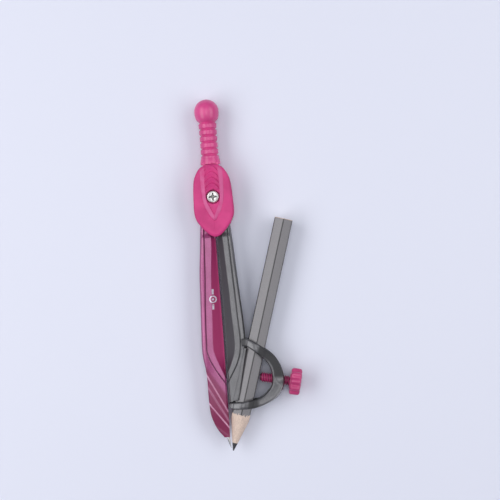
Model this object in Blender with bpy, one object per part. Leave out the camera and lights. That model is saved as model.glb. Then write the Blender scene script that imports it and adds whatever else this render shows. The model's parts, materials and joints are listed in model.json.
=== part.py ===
"""A drawing compass with geared legs, a screw clamp and a hexagonal pencil.

The compass lies on its back: +Y runs from the points to the handle, +X to the side of the
pencil, and +Z out of the front cover. Sizes are in millimetres from the middle of the head
screw, with z = 0 halfway through the thickness, and finish_piece() turns them into metres.
"""

import math

import bmesh
import bpy
from mathutils import Matrix, Vector

MM = 0.001

# Handle
BALL_TOP = 39.2
BALL_RADIUS = 4.9
NECK_RADIUS = 3.5
NECK_FOOT_RADIUS = 4.0
HANDLE_FOOT = 13.3
GROOVE_COUNT = 6
GROOVE_PITCH = 2.58
GROOVE_FIRST = 16.9
GROOVE_WIDTH = 1.0
GROOVE_DEPTH = 0.45
TENON_HALF_WIDTH = 3.2
TENON_HALF_THICKNESS = 3.2

# Head
HEAD_HALF_THICKNESS = 5.8
COVER_INNER_FACE = 3.6
COVER_BEVEL = 0.7
RIM_WALL = 1.3
RIM_TOP = 9.5
RIM_BOTTOM = 0.5
PARTING_GAP = 0.3
SCREW_RADIUS = 1.5
SCREW_HEAD_RADIUS = 2.45
SCREW_HEAD_RECESS = 2.8
SCREW_HEAD_HEIGHT = 1.9
SCREW_RECESS_FLOOR = 4.2
CROSS_HALF_LENGTH = 1.5
CROSS_HALF_WIDTH = 0.3
CROSS_DEPTH = 1.1
NUT_ACROSS_FLATS = 5.5
NUT_POCKET_DEEPER = 0.3
NUT_THICKNESS = 1.6

# Leg pivots and gears
PIVOT_X = 4.5
PIVOT_Y = -8.0
PIN_RADIUS = 1.5
PIN_HALF_LENGTH = 4.9
ROOT_HALF_THICKNESS = 2.6
ROOT_RADIUS = 3.0
WASHER_RADIUS = 2.9
WASHER_THICKNESS = 0.5
GEAR_TEETH = 12
GEAR_TIP_RADIUS = 5.05
GEAR_ROOT_RADIUS = 3.6
TOOTH_HALF_WIDTH_ROOT = 0.66
TOOTH_HALF_WIDTH_TIP = 0.28

# Needle
NEEDLE_RADIUS = 0.6
NEEDLE_TOP = (-3.0, -87.0)
NEEDLE_TIP = (-0.8, -100.4)
NEEDLE_TAPER = 5.0

# Pencil
PENCIL_TIP = (0.2, -101.6)
PENCIL_LEAN = math.radians(16.8)
PENCIL_ACROSS_FLATS = 7.2
PENCIL_LENGTH = 95.0
POINT_SLOPE = 0.265
POINT_BLUNT_RADIUS = 0.25
LEAD_RADIUS = 1.05

# Clamp
RING_HALF_THICKNESS = 5.7
RING_FLANK_HALF_THICKNESS = 4.1
RING_BORE_ACROSS_FLATS = 8.0
LEG_SLOT = (6.0, 8.8, -61.5, -56.0)
LEG_SLOT_HALF_THICKNESS = 3.2
CLAMP_LEAN = math.radians(-12.5)
CLAMP_THROUGH = (9.1, -72.15)
CLAMP_SCREW_RADIUS = 2.0
CLAMP_TIP_DISTANCE = 3.95
KNOB_INNER_DISTANCE = 15.9
KNOB_THICKNESS = 4.5
KNOB_RADIUS = 5.5
KNOB_LOBES = 10
KNOB_SCALLOP = 0.45
KNOB_SOCKET_DEPTH = 3.0

RUNNING_GAP = 0.12
FIT_GAP = 0.3
ROUND_SEGMENTS = 32
FRONT = Vector((0, 0, 1))


def clear_scene():
    """Empties the scene."""
    for old in list(bpy.data.objects):
        bpy.data.objects.remove(old)


def make_material(name, color, roughness, metallic):
    """Makes one Principled material."""
    material = bpy.data.materials.new(name)
    material.use_nodes = True
    shader = material.node_tree.nodes["Principled BSDF"]
    shader.inputs["Base Color"].default_value = (*color, 1)
    shader.inputs["Roughness"].default_value = roughness
    shader.inputs["Metallic"].default_value = metallic
    return material


def joint_empty(name, place, root):
    """An empty on a joint's axis, which carries the pieces that the joint moves."""
    empty = bpy.data.objects.new(name, None)
    empty.location = Vector(place) * MM
    empty.parent = root
    bpy.context.scene.collection.objects.link(empty)
    return empty


def finish_piece(name, shape, material, parent):
    """Makes an object from a bmesh in millimetres, with its origin at its parent empty."""
    bmesh.ops.recalc_face_normals(shape, faces=shape.faces)
    bmesh.ops.scale(shape, verts=shape.verts, vec=(MM, MM, MM))
    bmesh.ops.translate(shape, verts=shape.verts, vec=-parent.location)
    mesh = bpy.data.meshes.new(name)
    shape.to_mesh(mesh)
    shape.free()
    mesh.shade_smooth()
    mesh.set_sharp_from_angle(angle=math.radians(35))
    mesh.materials.append(material)
    piece = bpy.data.objects.new(name, mesh)
    piece.parent = parent
    bpy.context.scene.collection.objects.link(piece)
    return piece


def cut(piece, name, shape, operation="DIFFERENCE"):
    """Cuts a piece with a hidden shape, or keeps only what the two share."""
    cutter = finish_piece(f"{piece.name}_{name}", shape, piece.data.materials[0], piece.parent)
    cutter.hide_render = True
    cutter.display_type = "WIRE"
    modifier = piece.modifiers.new(name, "BOOLEAN")
    modifier.operation = operation
    modifier.object = cutter


def flow(points, steps=4):
    """A smooth line through the points, with straight ends."""
    spread = [points[0], *points, points[-1]]
    line = []
    for before, start, end, after in zip(spread, spread[1:], spread[2:], spread[3:]):
        for step in range(steps):
            t = step / steps
            line.append(
                tuple(
                    0.5 * (2 * b + (c - a) * t + (2 * a - 5 * b + 4 * c - d) * t**2
                           + (3 * b - a - 3 * c + d) * t**3)
                    for a, b, c, d in zip(before, start, end, after)
                )
            )
    return [*line, tuple(points[-1])]


def prism(outline, low, high):
    """A flat outline in X and Y, raised from one height to another."""
    shape = bmesh.new()
    face = shape.faces.new([shape.verts.new((x, y, low)) for x, y in outline])
    raised = bmesh.ops.extrude_face_region(shape, geom=[face])
    verts = [item for item in raised["geom"] if isinstance(item, bmesh.types.BMVert)]
    bmesh.ops.translate(shape, verts=verts, vec=(0, 0, high - low))
    bmesh.ops.recalc_face_normals(shape, faces=shape.faces)
    return shape


def turned(profile, segments=ROUND_SEGMENTS):
    """Turns a profile of (radius, height) about Z. The profile starts and ends on the axis."""
    shape = bmesh.new()
    verts = [shape.verts.new((radius, 0, height)) for radius, height in profile]
    edges = [shape.edges.new(pair) for pair in zip(verts, verts[1:])]
    bmesh.ops.spin(
        shape, geom=[*verts, *edges], cent=(0, 0, 0), axis=(0, 0, 1),
        angle=math.tau, steps=segments, use_merge=True,
    )
    bmesh.ops.remove_doubles(shape, verts=shape.verts, dist=0.0005)
    bmesh.ops.recalc_face_normals(shape, faces=shape.faces)
    return shape


def cylinder(radius, low, high, segments=ROUND_SEGMENTS):
    """A plain cylinder about Z."""
    return turned([(0, low), (radius, low), (radius, high), (0, high)], segments)


def tube(inner, outer, low, high):
    """A plain ring about Z."""
    shape = bmesh.new()
    profile = [(inner, low), (outer, low), (outer, high), (inner, high)]
    verts = [shape.verts.new((radius, 0, height)) for radius, height in profile]
    edges = [shape.edges.new((verts[i - 1], verts[i])) for i in range(len(verts))]
    bmesh.ops.spin(
        shape, geom=[*verts, *edges], cent=(0, 0, 0), axis=(0, 0, 1),
        angle=math.tau, steps=ROUND_SEGMENTS, use_merge=True,
    )
    return shape


def placed(shape, place, lean=None):
    """Moves a shape made about Z to a place, and lays it along a direction if one is given."""
    if lean is not None:
        bmesh.ops.rotate(shape, verts=shape.verts, matrix=FRONT.rotation_difference(lean).to_matrix())
    bmesh.ops.translate(shape, verts=shape.verts, vec=place)
    return shape


def hexagon(across_flats):
    """The corners of a hexagon with one corner on +Y."""
    radius = across_flats / math.sqrt(3)
    turns = [math.tau * k / 6 for k in range(6)]
    return [(radius * math.sin(turn), radius * math.cos(turn)) for turn in turns]


# The pencil's own frame: its point at the origin, its length along local Z, and two of its
# corners facing the front and the back.
PENCIL_AXIS = Vector((math.sin(PENCIL_LEAN), math.cos(PENCIL_LEAN), 0))
PENCIL_FRAME = Matrix.Translation((*PENCIL_TIP, 0)) @ Matrix((
    (math.cos(PENCIL_LEAN), 0, PENCIL_AXIS.x, 0),
    (-math.sin(PENCIL_LEAN), 0, PENCIL_AXIS.y, 0),
    (0, -1, 0, 0),
    (0, 0, 0, 1),
))
CLAMP_AXIS = Vector((math.cos(CLAMP_LEAN), math.sin(CLAMP_LEAN), 0))


def along_clamp(distance):
    """The point on the clamp screw's axis at a distance from the pencil's axis."""
    return Vector((*CLAMP_THROUGH, 0)) + CLAMP_AXIS * distance


def pencil_flank(y, side=1):
    """Where the pencil's left or right flat lies at a height y."""
    middle = PENCIL_TIP[0] + (y - PENCIL_TIP[1]) * math.tan(PENCIL_LEAN)
    return middle + side * PENCIL_ACROSS_FLATS / 2 / math.cos(PENCIL_LEAN)


def handle_profile():
    """The handle's turned outline from its foot to the top of its ball."""
    profile = [(0, HANDLE_FOOT), (NECK_FOOT_RADIUS, HANDLE_FOOT), (NECK_FOOT_RADIUS, HANDLE_FOOT + 0.8)]
    for groove in range(GROOVE_COUNT):
        middle = GROOVE_FIRST + groove * GROOVE_PITCH
        profile.append((NECK_RADIUS, middle - GROOVE_WIDTH / 2))
        profile.append((NECK_RADIUS - GROOVE_DEPTH, middle))
        profile.append((NECK_RADIUS, middle + GROOVE_WIDTH / 2))
    ball_middle = BALL_TOP - BALL_RADIUS
    first = -math.acos(NECK_RADIUS / BALL_RADIUS)
    for step in range(13):
        turn = first + (math.pi / 2 - first) * step / 12
        profile.append((BALL_RADIUS * math.cos(turn), ball_middle + BALL_RADIUS * math.sin(turn)))
    profile[-1] = (0, BALL_TOP)
    return profile


def make_handle(material, parent):
    """The turned grip with its flat tenon, which the head screw passes through."""
    grip = placed(turned(handle_profile()), (0, 0, 0), Vector((0, 1, 0)))
    handle = finish_piece("handle", grip, material, parent)
    end = [(TENON_HALF_WIDTH * math.cos(a), TENON_HALF_WIDTH * math.sin(a))
           for a in (math.pi * (1 + k / 16) for k in range(17))]
    top = HANDLE_FOOT + 1.0
    outline = [*end, (TENON_HALF_WIDTH, top), (-TENON_HALF_WIDTH, top)]
    tenon = prism(outline, -TENON_HALF_THICKNESS, TENON_HALF_THICKNESS)
    cut(handle, "tenon", tenon, "UNION")
    cut(handle, "screw_hole", cylinder(SCREW_RADIUS + RUNNING_GAP, -6, 6))
    return handle


def head_outline():
    """The shield outline of both covers."""
    right = flow([
        (0, 13.0), (2.2, 12.8), (4.2, 11.9), (5.8, 10.0), (7.1, 7.0), (7.6, 3.0), (7.8, -1.0),
        (7.9, -5.5), (7.3, -8.6), (5.4, -11.8), (3.0, -14.4), (1.3, -15.6), (0, -15.9),
    ], 3)
    left = [(-x, y) for x, y in reversed(right[1:-1])]
    return [*right, *left]


def bevelled_plate(outline, low, high, bevel):
    """A plate with a bevel round the edge of its higher face."""
    shape = prism(outline, low, high)
    top = max(shape.faces, key=lambda face: face.calc_center_median().z)
    bmesh.ops.bevel(
        shape, geom=list(top.edges), offset=bevel, affect="EDGES", segments=1,
        profile=0.5, material=-1,
    )
    return shape


def rim(side):
    """One side wall of a cover, which meets the other cover's wall."""
    outer = [p for p in head_outline() if RIM_BOTTOM < p[1] < RIM_TOP and p[0] * side > 0]
    inner = [(x - side * RIM_WALL, y) for x, y in reversed(outer)]
    return prism([*outer, *inner], PARTING_GAP / 2, COVER_INNER_FACE + 0.5)


def make_cover(name, material, parent, facing):
    """One half of the head, facing the front or, with -1, the back."""
    plate = bevelled_plate(head_outline(), COVER_INNER_FACE, HEAD_HALF_THICKNESS, COVER_BEVEL)
    shapes = {"UNION": [rim(1), rim(-1)], "DIFFERENCE": [cylinder(SCREW_RADIUS + RUNNING_GAP, 3, 7)]}
    for side in (-1, 1):
        hole = cylinder(PIN_RADIUS + RUNNING_GAP, 3, PIN_HALF_LENGTH + 0.2)
        shapes["DIFFERENCE"].append(placed(hole, (side * PIVOT_X, PIVOT_Y, 0)))
    if facing > 0:
        shapes["DIFFERENCE"].append(cylinder(SCREW_HEAD_RECESS, SCREW_RECESS_FLOOR, 7))
    else:
        pocket = hexagon(NUT_ACROSS_FLATS + 2 * FIT_GAP)
        shapes["DIFFERENCE"].append(prism(pocket, SCREW_RECESS_FLOOR - NUT_POCKET_DEEPER, 7))
    for shape in (plate, *shapes["UNION"], *shapes["DIFFERENCE"]):
        bmesh.ops.scale(shape, verts=shape.verts, vec=(1, 1, facing))
    cover = finish_piece(name, plate, material, parent)
    for operation, group in shapes.items():
        for count, shape in enumerate(group):
            cut(cover, f"{operation.lower()}_{count}", shape, operation)
    return cover


def make_hinge_screw(material, parent):
    """The domed screw with its cross recess."""
    foot = SCREW_RECESS_FLOOR + 0.2
    crown = foot + SCREW_HEAD_HEIGHT
    end = -HEAD_HALF_THICKNESS + 0.2
    profile = [
        (0, end), (SCREW_RADIUS - 0.3, end), (SCREW_RADIUS, end + 0.3), (SCREW_RADIUS, foot),
        (SCREW_HEAD_RADIUS, foot), (SCREW_HEAD_RADIUS, foot + 1.0), (2.1, foot + 1.45),
        (1.3, crown - 0.1), (0, crown),
    ]
    screw = finish_piece("hinge_screw", turned(profile), material, parent)
    for turn in (0, 1):
        half, width = CROSS_HALF_LENGTH, CROSS_HALF_WIDTH
        outline = [(-half, -width), (half, -width), (half, width), (-half, width)]
        slot = prism(outline, crown - CROSS_DEPTH, crown + 1)
        lowest = [vert for vert in slot.verts if vert.co.z < crown]
        bmesh.ops.scale(slot, verts=lowest, vec=(0.45, 0.8, 1))
        bmesh.ops.rotate(slot, verts=slot.verts, matrix=Matrix.Rotation(turn * math.pi / 2, 3, "Z"))
        cut(screw, f"cross_{turn}", slot)
    return screw


def make_hinge_nut(material, parent):
    """The nut in the rear cover's pocket."""
    low = -HEAD_HALF_THICKNESS + 0.15
    nut = finish_piece("hinge_nut", prism(hexagon(NUT_ACROSS_FLATS), low, low + NUT_THICKNESS), material, parent)
    cut(nut, "bore", cylinder(SCREW_RADIUS + RUNNING_GAP, -7, -3))
    return nut


def make_pivot(side, name, materials, parent):
    """One leg's pin and the friction washer on each side of the leg."""
    place = (side * PIVOT_X, PIVOT_Y, 0)
    pin = cylinder(PIN_RADIUS, -PIN_HALF_LENGTH, PIN_HALF_LENGTH)
    finish_piece(f"{name}_pivot_pin", placed(pin, place), materials["pin"], parent)
    middle = (ROOT_HALF_THICKNESS + COVER_INNER_FACE) / 2
    for facing, where in ((1, "front"), (-1, "rear")):
        low = facing * middle - WASHER_THICKNESS / 2
        washer = tube(PIN_RADIUS + RUNNING_GAP, WASHER_RADIUS, low, low + WASHER_THICKNESS)
        finish_piece(f"{name}_{where}_washer", placed(washer, place), materials["washer"], parent)


def gear_root(side, first_tooth):
    """A leg's root: a disc round its pivot with the teeth that mesh on the middle line."""
    pitch = math.tau / GEAR_TEETH
    outline = []
    for tooth in range(4):
        middle = math.pi - first_tooth * pitch - (tooth - 1) * pitch
        for radius, half_width, way in (
            (GEAR_ROOT_RADIUS, TOOTH_HALF_WIDTH_ROOT, 1), (GEAR_TIP_RADIUS, TOOTH_HALF_WIDTH_TIP, 1),
            (GEAR_TIP_RADIUS, TOOTH_HALF_WIDTH_TIP, -1), (GEAR_ROOT_RADIUS, TOOTH_HALF_WIDTH_ROOT, -1),
        ):
            turn = middle + way * half_width / radius
            outline.append((radius * math.cos(turn), radius * math.sin(turn)))
    last = math.atan2(outline[-1][1], outline[-1][0])
    for step in range(1, 9):
        turn = last + (-math.pi / 2 - last) * step / 8
        outline.append((ROOT_RADIUS * math.cos(turn), ROOT_RADIUS * math.sin(turn)))
    outline = [(side * (PIVOT_X + x), PIVOT_Y + y) for x, y in outline]
    return prism(outline, -ROOT_HALF_THICKNESS, ROOT_HALF_THICKNESS)


def leg_shaft(stations, side):
    """A leg lofted through its stations.

    A station is its y, then how far out its inner edge, crest and outer edge lie, then half
    its thickness at those three lines. The crest is the flat between two lines.
    """
    shape = bmesh.new()
    loops = []
    for y, inner, crest_in, crest_out, outer, z_inner, z_crest, z_outer in stations:
        ring = [
            (inner, z_inner), (crest_in, z_crest), (crest_out, z_crest), (outer, z_outer),
            (outer, -z_outer), (crest_out, -z_crest), (crest_in, -z_crest), (inner, -z_inner),
        ]
        verts = [shape.verts.new((side * x, y, z)) for x, z in ring]
        loops.append([shape.edges.new((verts[i - 1], verts[i])) for i in range(len(verts))])
    for above, below in zip(loops, loops[1:]):
        bmesh.ops.bridge_loops(shape, edges=[*above, *below])
    bmesh.ops.holes_fill(shape, edges=[*loops[0], *loops[-1]], sides=0)
    bmesh.ops.recalc_face_normals(shape, faces=shape.faces)
    return shape


def make_leg(name, side, stations, first_tooth, material, parent):
    """A leg with its gear root and its pivot hole."""
    leg = finish_piece(name, leg_shaft(stations, side), material, parent)
    cut(leg, "root", gear_root(side, first_tooth), "UNION")
    hole = cylinder(PIN_RADIUS + RUNNING_GAP, -5, 5)
    cut(leg, "pivot_hole", placed(hole, (side * PIVOT_X, PIVOT_Y, 0)))
    return leg


def make_needle_leg(materials, parent):
    """The magenta leg, which narrows to the end that holds the needle."""
    stations = [
        (-10.6, 0.35, 2.0, 4.6, 5.9, 1.6, 2.6, 2.0),
        (-13.0, 0.35, 2.1, 4.7, 6.2, 1.7, 2.6, 2.0),
        (-16.6, 0.35, 2.2, 4.9, 6.5, 1.8, 3.3, 2.2),
        (-30.0, 0.35, 3.0, 5.6, 7.8, 1.8, 3.3, 2.2),
        (-50.0, 0.35, 4.0, 6.9, 8.8, 1.8, 3.3, 2.2),
        (-60.0, 0.40, 4.6, 7.3, 9.2, 1.8, 3.3, 2.2),
        (-64.0, 0.45, 4.2, 7.0, 9.1, 1.9, 3.3, 2.2),
        (-68.0, 0.50, 3.4, 6.4, 8.5, 2.0, 3.3, 2.3),
        (-72.0, 0.55, 2.9, 6.0, 8.1, 2.1, 3.2, 2.4),
        (-80.0, 0.65, 2.7, 5.8, 8.1, 2.1, 3.1, 2.3),
        (-86.0, 0.70, 2.5, 5.4, 7.8, 2.0, 2.9, 2.1),
        (-90.0, 0.70, 2.3, 4.8, 6.7, 1.9, 2.6, 1.8),
        (-93.0, 0.75, 2.0, 3.9, 5.3, 1.7, 2.2, 1.6),
        (-96.0, 0.90, 1.5, 2.4, 3.0, 1.3, 1.5, 1.2),
    ]
    leg = make_leg("needle_leg", -1, stations, 0.5, materials["needle_leg"], parent)
    way = Vector((*NEEDLE_TOP, 0)) - Vector((*NEEDLE_TIP, 0))
    hole = cylinder(NEEDLE_RADIUS + RUNNING_GAP, 0, way.length + FIT_GAP, 24)
    cut(leg, "needle_hole", placed(hole, (*NEEDLE_TIP, 0), way))
    profile = [(0, 0), (0.06, 0.05), (NEEDLE_RADIUS, NEEDLE_TAPER), (NEEDLE_RADIUS, way.length), (0, way.length)]
    needle = placed(turned(profile, 24), (*NEEDLE_TIP, 0), way)
    finish_piece("needle", needle, materials["needle"], parent)
    return leg


def make_pencil_leg(materials, parent):
    """The grey leg, whose lower end is cut back to seat the pencil."""
    stations = [
        (-10.6, 0.35, 2.0, 4.4, 5.8, 1.6, 2.6, 2.0),
        (-13.0, 0.35, 2.2, 4.5, 6.0, 1.7, 2.6, 2.0),
        (-16.6, 0.35, 2.4, 4.7, 6.3, 1.8, 3.3, 2.2),
        (-30.0, 0.35, 3.0, 5.2, 7.0, 1.8, 3.3, 2.2),
        (-50.0, 0.35, 3.9, 6.0, 8.2, 1.8, 3.3, 2.2),
        (-57.0, 0.30, 4.2, 6.2, 8.4, 1.8, 3.3, 2.2),
    ]
    for y, inner, crest_in, crest_out, z_inner in (
        (-63.0, 0.25, 3.3, 5.5, 1.9), (-68.0, 0.20, 1.6, 3.8, 2.1), (-73.0, 0.15, 0.9, 2.4, 2.4),
        (-78.0, 0.10, 0.8, 1.6, 2.6), (-81.85, 0.10, 0.6, 1.3, 2.5),
    ):
        outer = pencil_flank(y, -1) - FIT_GAP
        stations.append((y, inner, crest_in, crest_out, outer, z_inner, 3.2, 2.9))
    return make_leg("pencil_leg", 1, stations, 0, materials["pencil_leg"], parent)


def ring_outline():
    """The clamp ring from the front: a loop open towards the leg."""
    outer = flow([
        (6.9, -57.1), (8.6, -57.1), (12.0, -58.9), (16.0, -61.9), (19.2, -64.9), (21.4, -68.8),
        (22.5, -73.2), (22.0, -77.4), (19.4, -81.2), (15.0, -83.7), (10.0, -85.1), (5.0, -85.2),
        (1.0, -84.9),
    ], 3)
    inner = flow([
        (0.1, -83.5), (0.6, -82.2), (6.0, -82.1), (11.0, -81.6), (14.4, -80.0), (16.9, -77.3),
        (17.9, -73.8), (17.2, -69.3), (14.6, -65.3), (11.4, -62.5), (8.9, -60.6), (6.9, -60.2),
    ], 3)
    return [*outer, *inner]


def ring_roof():
    """The ring's thickness across the pencil: a low ridge over the pencil, and thinner flanks."""
    half = [
        (-16.0, 3.9), (-5.2, RING_FLANK_HALF_THICKNESS), (-1.4, RING_HALF_THICKNESS - 0.2),
        (0, RING_HALF_THICKNESS), (1.4, RING_HALF_THICKNESS - 0.2), (5.2, RING_FLANK_HALF_THICKNESS),
        (18.0, 3.9),
    ]
    outline = [*half, *[(across, -z) for across, z in reversed(half)]]
    roof = prism(outline, 10, 60)
    bmesh.ops.transform(roof, matrix=PENCIL_FRAME, verts=roof.verts)
    return roof


def make_clamp_ring(material, parent):
    """The loop that draws the pencil against the leg."""
    ring = finish_piece("clamp_ring", prism(ring_outline(), -7, 7), material, parent)
    cut(ring, "roof", ring_roof(), "INTERSECT")
    bore = prism(hexagon(RING_BORE_ACROSS_FLATS), 5, 70)
    bmesh.ops.transform(bore, matrix=PENCIL_FRAME, verts=bore.verts)
    cut(ring, "pencil_bore", bore)
    left, right, low, high = LEG_SLOT
    slot = prism(
        [(left, high), (right, high), (right, low), (left, low)],
        -LEG_SLOT_HALF_THICKNESS, LEG_SLOT_HALF_THICKNESS,
    )
    cut(ring, "leg_slot", slot)
    tapping = cylinder(CLAMP_SCREW_RADIUS + RUNNING_GAP, 5, 18)
    cut(ring, "screw_bore", placed(tapping, along_clamp(0), CLAMP_AXIS))
    return ring


def make_clamp_screw(materials, parent):
    """The threaded shank, and the lobed knob moulded on its outer end."""
    end = KNOB_INNER_DISTANCE + KNOB_SOCKET_DEPTH
    profile = [
        (0, CLAMP_TIP_DISTANCE), (1.3, CLAMP_TIP_DISTANCE), (CLAMP_SCREW_RADIUS, CLAMP_TIP_DISTANCE + 0.7),
        (CLAMP_SCREW_RADIUS, end), (0, end),
    ]
    shank = placed(turned(profile), along_clamp(0), CLAMP_AXIS)
    finish_piece("clamp_screw", shank, materials["clamp_screw"], parent)
    turns = [math.tau * k / 80 for k in range(80)]
    radii = [KNOB_RADIUS - KNOB_SCALLOP * (1 - math.cos(KNOB_LOBES * turn)) / 2 for turn in turns]
    outline = [(radius * math.cos(turn), radius * math.sin(turn)) for radius, turn in zip(radii, turns)]
    knob = bevelled_plate(outline, KNOB_INNER_DISTANCE, KNOB_INNER_DISTANCE + KNOB_THICKNESS, 0.8)
    knob = finish_piece("clamp_knob", placed(knob, along_clamp(0), CLAMP_AXIS), materials["clamp_knob"], parent)
    socket = cylinder(CLAMP_SCREW_RADIUS + RUNNING_GAP, 10, end + FIT_GAP)
    cut(knob, "socket", placed(socket, along_clamp(0), CLAMP_AXIS))


def make_pencil(materials, parent):
    """The sharpened casing and the lead through it."""
    widest = PENCIL_ACROSS_FLATS
    cone_end = (widest - POINT_BLUNT_RADIUS) / POINT_SLOPE
    casing = prism(hexagon(PENCIL_ACROSS_FLATS), 0, PENCIL_LENGTH)
    cone = turned([(0, 1), (POINT_BLUNT_RADIUS + POINT_SLOPE, 1), (widest, cone_end),
                   (widest, PENCIL_LENGTH + 1), (0, PENCIL_LENGTH + 1)], 48)
    core = cylinder(LEAD_RADIUS + RUNNING_GAP, -2, PENCIL_LENGTH + 2, 24)
    shoulder = (LEAD_RADIUS - POINT_BLUNT_RADIUS) / POINT_SLOPE
    lead = turned([(0, 0), (POINT_BLUNT_RADIUS, 0), (LEAD_RADIUS, shoulder),
                   (LEAD_RADIUS, PENCIL_LENGTH - FIT_GAP), (0, PENCIL_LENGTH - FIT_GAP)], 24)
    for shape in (casing, cone, core, lead):
        bmesh.ops.transform(shape, matrix=PENCIL_FRAME, verts=shape.verts)
    casing = finish_piece("pencil_casing", casing, materials["pencil_casing"], parent)
    cut(casing, "point", cone, "INTERSECT")
    cut(casing, "core", core)
    finish_piece("pencil_lead", lead, materials["pencil_lead"], parent)


def make_materials():
    """Every piece's own material."""
    finishes = {
        "handle": ((0.58, 0.07, 0.22), 0.4, 0.0),
        "head_front_cover": ((0.58, 0.07, 0.22), 0.4, 0.0),
        "head_rear_cover": ((0.56, 0.07, 0.21), 0.42, 0.0),
        "hinge_screw": ((0.75, 0.75, 0.73), 0.25, 1.0),
        "hinge_nut": ((0.68, 0.68, 0.66), 0.3, 1.0),
        "pin": ((0.65, 0.65, 0.65), 0.3, 1.0),
        "washer": ((0.82, 0.82, 0.78), 0.5, 0.0),
        "needle_leg": ((0.42, 0.08, 0.22), 0.35, 0.5),
        "needle": ((0.8, 0.8, 0.8), 0.2, 1.0),
        "pencil_leg": ((0.16, 0.16, 0.17), 0.35, 0.6),
        "clamp_ring": ((0.14, 0.14, 0.15), 0.35, 0.6),
        "clamp_screw": ((0.6, 0.03, 0.16), 0.35, 0.0),
        "clamp_knob": ((0.6, 0.03, 0.16), 0.35, 0.0),
        "pencil_casing": ((0.3, 0.29, 0.28), 0.4, 0.2),
        "pencil_lead": ((0.03, 0.03, 0.035), 0.35, 0.3),
    }
    return {name: make_material(name, *finish) for name, finish in finishes.items()}


def rest_on_origin(root):
    """Moves the compass so that its box stands on the origin."""
    bpy.context.view_layer.update()
    graph = bpy.context.evaluated_depsgraph_get()
    points = []
    for piece in root.children_recursive:
        if piece.type != "MESH" or piece.hide_render:
            continue
        whole = piece.evaluated_get(graph)
        points += [whole.matrix_world @ vert.co for vert in whole.data.vertices]
    low = Vector(min(point[i] for point in points) for i in range(3))
    high = Vector(max(point[i] for point in points) for i in range(3))
    root.location = (-(low.x + high.x) / 2, -(low.y + high.y) / 2, -low.z)


def main():
    clear_scene()
    root = bpy.data.objects.new("compass", None)
    bpy.context.scene.collection.objects.link(root)
    materials = make_materials()
    head = joint_empty("head", (0, 0, 0), root)
    make_handle(materials["handle"], head)
    make_cover("head_front_cover", materials["head_front_cover"], head, 1)
    make_cover("head_rear_cover", materials["head_rear_cover"], head, -1)
    make_hinge_screw(materials["hinge_screw"], head)
    make_hinge_nut(materials["hinge_nut"], head)
    make_pivot(-1, "needle_leg", materials, head)
    make_pivot(1, "pencil_leg", materials, head)
    make_needle_leg(materials, joint_empty("needle_leg_axis", (-PIVOT_X, PIVOT_Y, 0), root))
    pencil_leg_axis = joint_empty("pencil_leg_axis", (PIVOT_X, PIVOT_Y, 0), root)
    make_pencil_leg(materials, pencil_leg_axis)
    make_clamp_ring(materials["clamp_ring"], pencil_leg_axis)
    make_clamp_screw(materials, joint_empty("clamp_screw_axis", along_clamp(0), root))
    make_pencil(materials, joint_empty("pencil_axis", (*PENCIL_TIP, 0), root))
    rest_on_origin(root)


main()
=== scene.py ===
"""Looks for a drawing compass with a clamped pencil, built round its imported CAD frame."""

import json
import math
import bmesh
import bpy
import numpy as np
from bpy.props import FloatProperty, FloatVectorProperty, IntProperty, PointerProperty
from mathutils import Matrix, Vector


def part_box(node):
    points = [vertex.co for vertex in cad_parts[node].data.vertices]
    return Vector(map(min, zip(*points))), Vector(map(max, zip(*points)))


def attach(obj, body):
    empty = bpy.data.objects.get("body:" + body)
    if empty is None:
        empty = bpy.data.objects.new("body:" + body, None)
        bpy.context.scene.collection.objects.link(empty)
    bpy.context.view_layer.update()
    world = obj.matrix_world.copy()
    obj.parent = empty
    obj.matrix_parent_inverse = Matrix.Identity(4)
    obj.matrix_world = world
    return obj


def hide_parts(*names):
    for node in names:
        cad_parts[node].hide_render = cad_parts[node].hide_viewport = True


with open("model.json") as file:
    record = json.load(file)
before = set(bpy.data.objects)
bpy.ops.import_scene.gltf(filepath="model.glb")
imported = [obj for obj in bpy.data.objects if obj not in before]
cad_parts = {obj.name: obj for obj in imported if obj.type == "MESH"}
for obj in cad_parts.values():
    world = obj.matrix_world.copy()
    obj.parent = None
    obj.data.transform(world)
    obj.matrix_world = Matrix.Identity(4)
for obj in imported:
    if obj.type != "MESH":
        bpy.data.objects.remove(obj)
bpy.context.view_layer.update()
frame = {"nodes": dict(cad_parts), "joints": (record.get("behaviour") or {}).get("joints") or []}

bl_info = {
    "name": "Drawing compass",
    "version": (1, 0, 0),
    "blender": (4, 5, 0),
    "location": "3D View > Sidebar > Compass",
    "description": "Models and finishes the pieces of a drawing compass and its pencil",
    "category": "Object",
}

JOINTS = {joint["name"]: joint for joint in frame["joints"]}
MM = 0.001


def middle(node):
    """The middle of a CAD node's box."""
    low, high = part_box(node)
    return (low + high) / 2


def sizes(node):
    """A CAD node's box, in millimetres from the head screw's axis and the middle plane."""
    return [(corner - CENTRE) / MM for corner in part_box(node)]


# Every piece is modelled in millimetres from this point: on the head screw's axis, halfway
# through the compass, with Y towards the handle.
CENTRE = Vector((*middle("hinge_screw").xy, middle("needle_leg_pivot_pin").z))
PIVOT = sizes("pencil_leg_pivot_pin")[0].lerp(sizes("pencil_leg_pivot_pin")[1], 0.5)
PIN_RADIUS = (sizes("pencil_leg_pivot_pin")[1].x - sizes("pencil_leg_pivot_pin")[0].x) / 2
BALL_TOP = sizes("handle")[1].y
BALL_RADIUS = sizes("handle")[1].x
HEAD_TOP = sizes("head_front_cover")[1].y
HEAD_FRONT = -sizes("head_rear_cover")[0].z
PENCIL_AXIS = Vector(JOINTS["pencil_slide"]["axis"])
PENCIL_ANGLE = math.atan2(PENCIL_AXIS.x, PENCIL_AXIS.y)
PENCIL_TIP = Vector((sizes("pencil_lead")[0].x, sizes("pencil_lead")[0].y, 0))
CLAMP_AXIS = Vector(JOINTS["clamp_feed"]["axis"])
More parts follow.
